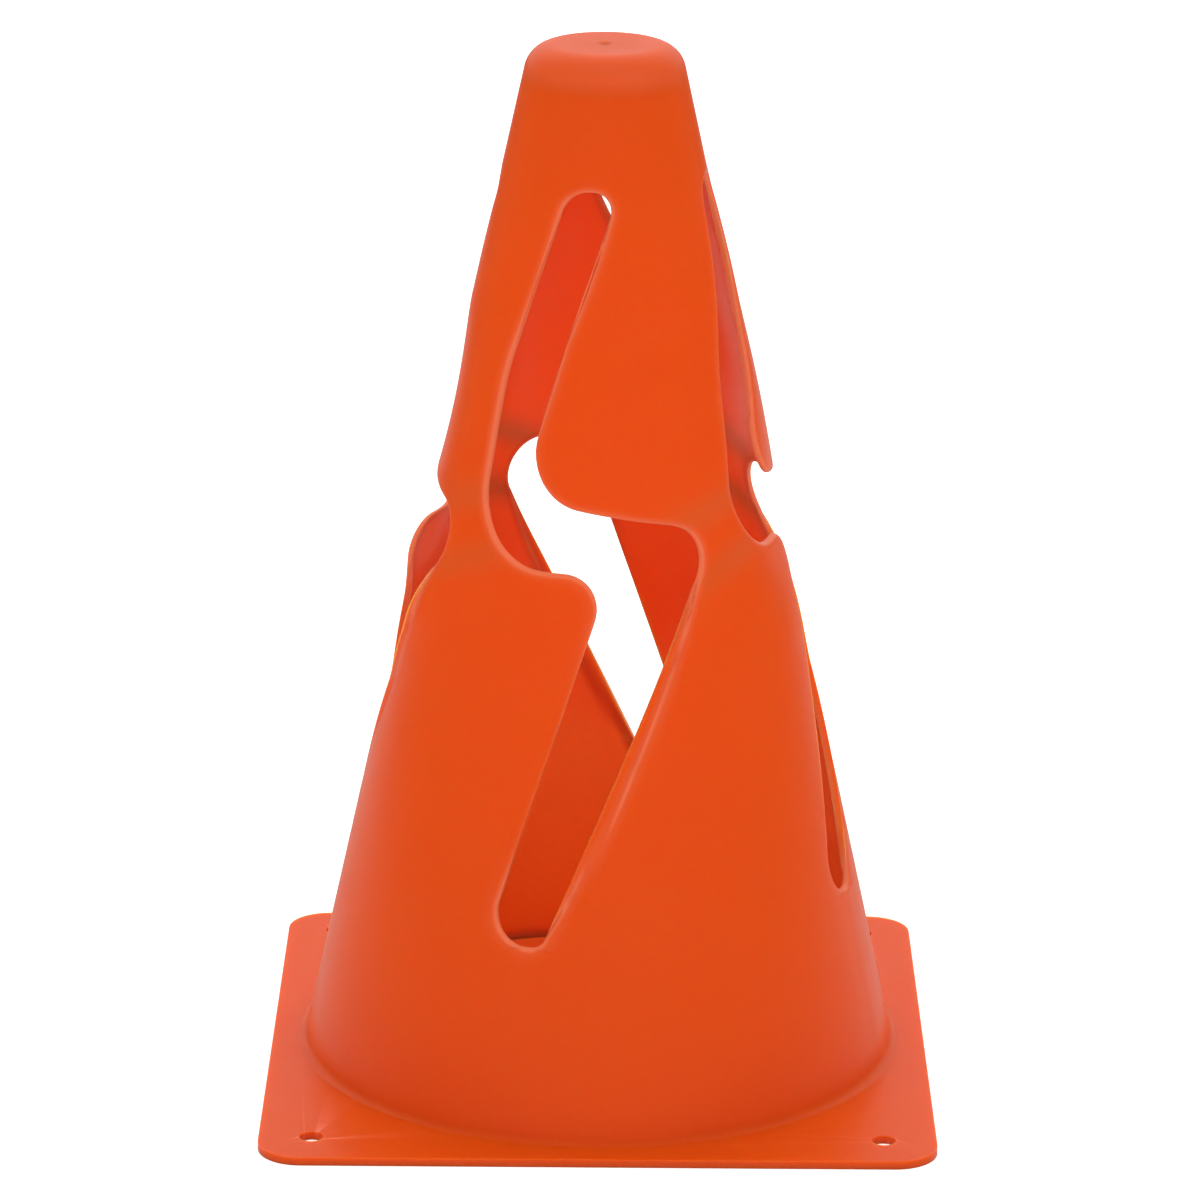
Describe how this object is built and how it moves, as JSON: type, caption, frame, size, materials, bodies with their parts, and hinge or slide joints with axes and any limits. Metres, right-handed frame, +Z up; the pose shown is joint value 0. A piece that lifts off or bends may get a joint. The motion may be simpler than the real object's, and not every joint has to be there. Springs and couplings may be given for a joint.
{
  "type": "sports marker cone",
  "caption": "Collapsible sports marker cone: hollow tapered body on a square base, with S-shaped slots around it and a hole in each corner of the base.",
  "frame": {"origin": "middle of the base's underside, on the floor", "axes": "+Z up along the cone's axis, +X to the right as seen from the front, front towards -Y"},
  "size_m": [0.147, 0.147, 0.23],
  "materials": {
    "orange_ldpe": "smooth moulded low density polyethylene, soft gloss"
  },
  "bodies": {
    "skirt_body": {"base_plate": "orange_ldpe", "skirt": "orange_ldpe", "strap_front": "orange_ldpe", "strap_right": "orange_ldpe", "strap_rear": "orange_ldpe", "strap_left": "orange_ldpe"},
    "crown_body": {"crown": "orange_ldpe", "top_cap": "orange_ldpe"}
  },
  "joints": [
    {"name": "crown_press", "type": "slide", "parent": "skirt_body", "child": "crown_body", "axis": [0, 0, -1], "range_m": [0, 0.03], "stiffness_N_per_m": 1000, "springref_m": -0.001, "deforming": ["strap_front", "strap_right", "strap_rear", "strap_left"]}
  ]
}
